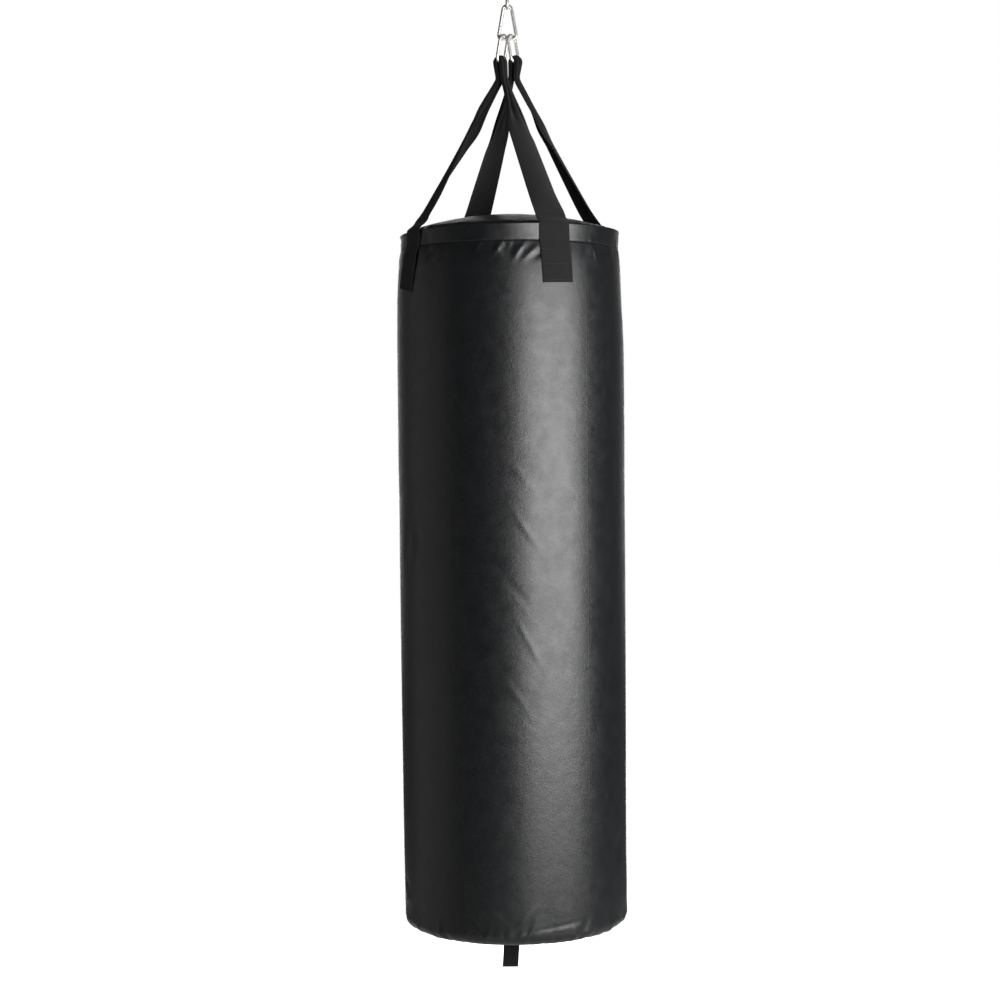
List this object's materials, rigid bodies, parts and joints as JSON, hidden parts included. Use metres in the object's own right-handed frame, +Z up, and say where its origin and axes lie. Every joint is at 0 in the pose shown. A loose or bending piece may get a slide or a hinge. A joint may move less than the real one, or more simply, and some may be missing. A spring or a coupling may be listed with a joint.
{
  "type": "hanging heavy bag",
  "caption": "Tall stuffed cylinder bag of black synthetic leather with a domed zipped lid, hung by bunched webbing straps on steel links, with a tie-down loop below.",
  "frame": {"origin": "the point inside the top bend of the upper link that bears on the hook", "axes": "+Z up along the bag, -Y to the front; the pear link lies in the XZ plane"},
  "size_m": [0.35, 0.35, 1.554],
  "materials": {
    "steel_links": "bright zinc plated, lightly worn where the links bear",
    "webbing": "matt ribbed webbing",
    "cover": "semi-gloss synthetic leather with a fine grain",
    "backing": "plain synthetic leather, wrong side out",
    "zip_tape": "woven tape",
    "zip_teeth": "moulded coil",
    "zip_metal": "plated casting",
    "lining": "woven lining",
    "foam": "felted foam",
    "filling": "compressed textile offcuts"
  },
  "bodies": {
    "upper_link": {"upper_link": "steel_links"},
    "pear_link": {"pear_link": "steel_links"},
    "strap_links": {"strap_link_left": "steel_links", "strap_link_right": "steel_links"},
    "bag": {"strap_front": "webbing", "strap_rear": "webbing", "cover_wall": "cover", "base_panel": "cover", "lid_panel_front": "cover", "lid_panel_rear": "cover", "zip_tape_front": "zip_tape", "zip_tape_rear": "zip_tape", "zip_teeth": "zip_teeth", "zip_stop_closed": "zip_metal", "zip_stop_open": "zip_metal", "lining": "lining", "rim_webbing": "webbing", "strap_patch_front_right": "backing", "strap_patch_left_front": "backing", "strap_patch_rear_left": "backing", "strap_patch_right_rear": "backing", "foam_wall": "foam", "foam_top": "foam", "foam_base": "foam", "filling_core": "filling", "base_patch": "backing", "tie_loop_foot": "webbing"},
    "tie_loop": {"tie_loop": "webbing"},
    "zip_slider": {"zip_slider": "zip_metal"},
    "zip_pull": {"zip_pull": "zip_metal"}
  },
  "joints": [
    {"name": "side_swing", "type": "hinge", "parent": "upper_link", "child": "pear_link", "pos_m": [0, 0, -0.03875], "axis": [0, 1, 0], "range_deg": [-45, 45]},
    {"name": "fore_aft_swing", "type": "hinge", "parent": "pear_link", "child": "strap_links", "pos_m": [0, 0, -0.08545], "axis": [1, 0, 0], "range_deg": [-30, 30]},
    {"name": "bag_twist", "type": "hinge", "parent": "strap_links", "child": "bag", "pos_m": [0, 0, -0.122], "axis": [0, 0, 1], "range_deg": [-4, 4]},
    {"name": "tie_loop_flap", "type": "hinge", "parent": "bag", "child": "tie_loop", "pos_m": [-0.006, 0, -1.4898], "axis": [1, 0, 0], "range_deg": [-75, 75]},
    {"name": "zip_travel", "type": "hinge", "parent": "bag", "child": "zip_slider", "pos_m": [0, 0, -0.86939], "axis": [0.3584, 0.9336, 0], "range_deg": [0, 24.46]},
    {"name": "zip_pull_flip", "type": "hinge", "parent": "zip_slider", "child": "zip_pull", "pos_m": [-0.10066, 0.03864, -0.37205], "axis": [0.3584, 0.9336, 0], "range_deg": [0, 150]}
  ]
}
